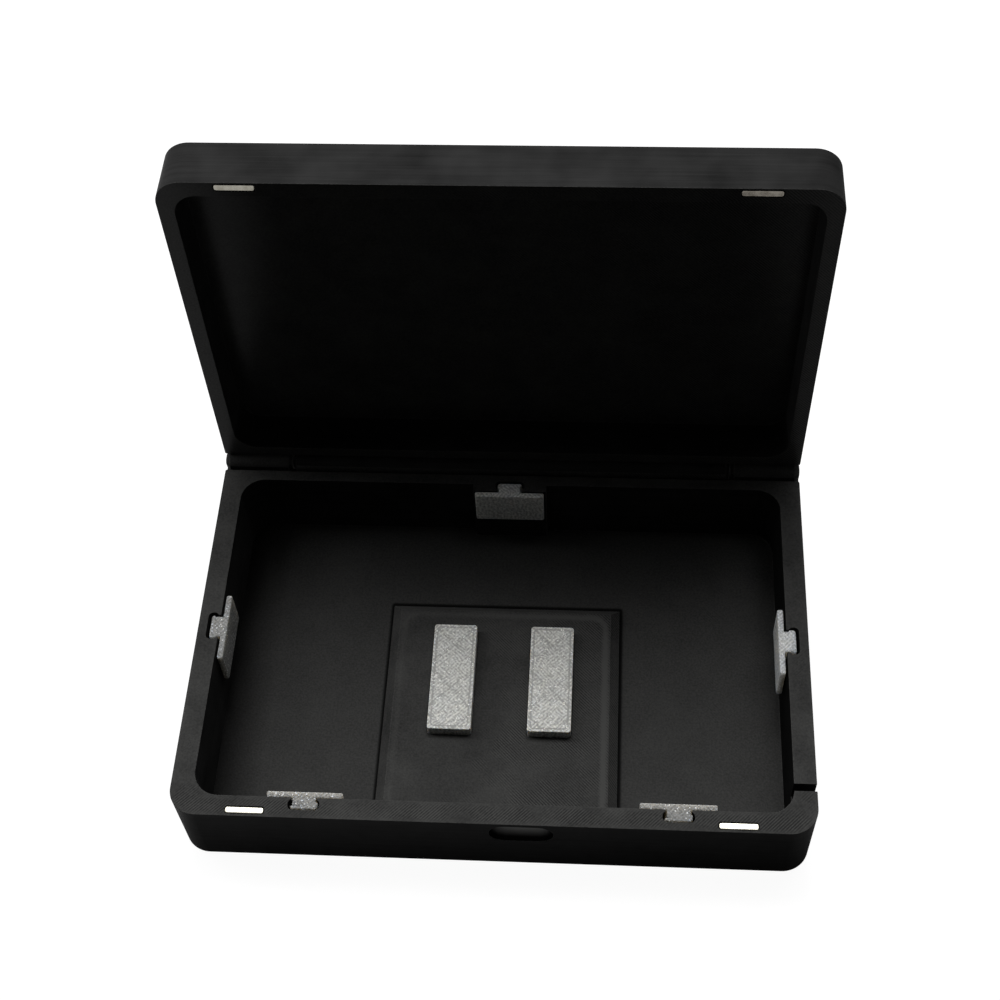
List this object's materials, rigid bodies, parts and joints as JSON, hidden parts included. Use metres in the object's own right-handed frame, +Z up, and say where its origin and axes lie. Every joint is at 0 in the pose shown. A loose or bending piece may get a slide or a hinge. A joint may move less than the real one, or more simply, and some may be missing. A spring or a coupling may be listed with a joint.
{
  "type": "handheld console carrying case",
  "caption": "Shallow hinged box with rounded corners, rim magnets, soft grey wall clips and pads that grip a clamshell handheld console.",
  "frame": {"origin": "centre of the tray's flat underside, on the surface that the case stands on", "axes": "+X to the right along the hinge, +Y from the front wall to the hinge, +Z up"},
  "size_m": [0.17, 0.1303, 0.1389],
  "materials": {
    "black_print": "matte black printed PETG or PLA, fine layer lines on the walls, crossed raster on flat tops",
    "grey_tpu": "light grey printed TPU with a fine glitter and a raster surface",
    "nickel": "bright nickel plating on block magnets",
    "pin_steel": "drawn steel wire, cut to length"
  },
  "bodies": {
    "tray": {"base_shell": "black_print", "console_pedestal": "black_print", "hinge_pin_left": "pin_steel", "hinge_pin_right": "pin_steel", "base_magnet_left": "nickel", "base_magnet_right": "nickel", "clip_front_left": "grey_tpu", "clip_front_right": "grey_tpu", "clip_back": "grey_tpu", "clip_left": "grey_tpu", "clip_right": "grey_tpu", "pad_left": "grey_tpu", "pad_right": "grey_tpu"},
    "lid": {"lid_shell": "black_print", "lid_magnet_left": "nickel", "lid_magnet_right": "nickel"}
  },
  "joints": [
    {"name": "lid_hinge", "type": "hinge", "parent": "tray", "child": "lid", "pos_m": [0, 0.0585, 0.02515], "axis": [1, 0, 0], "range_deg": [0, 91]}
  ]
}
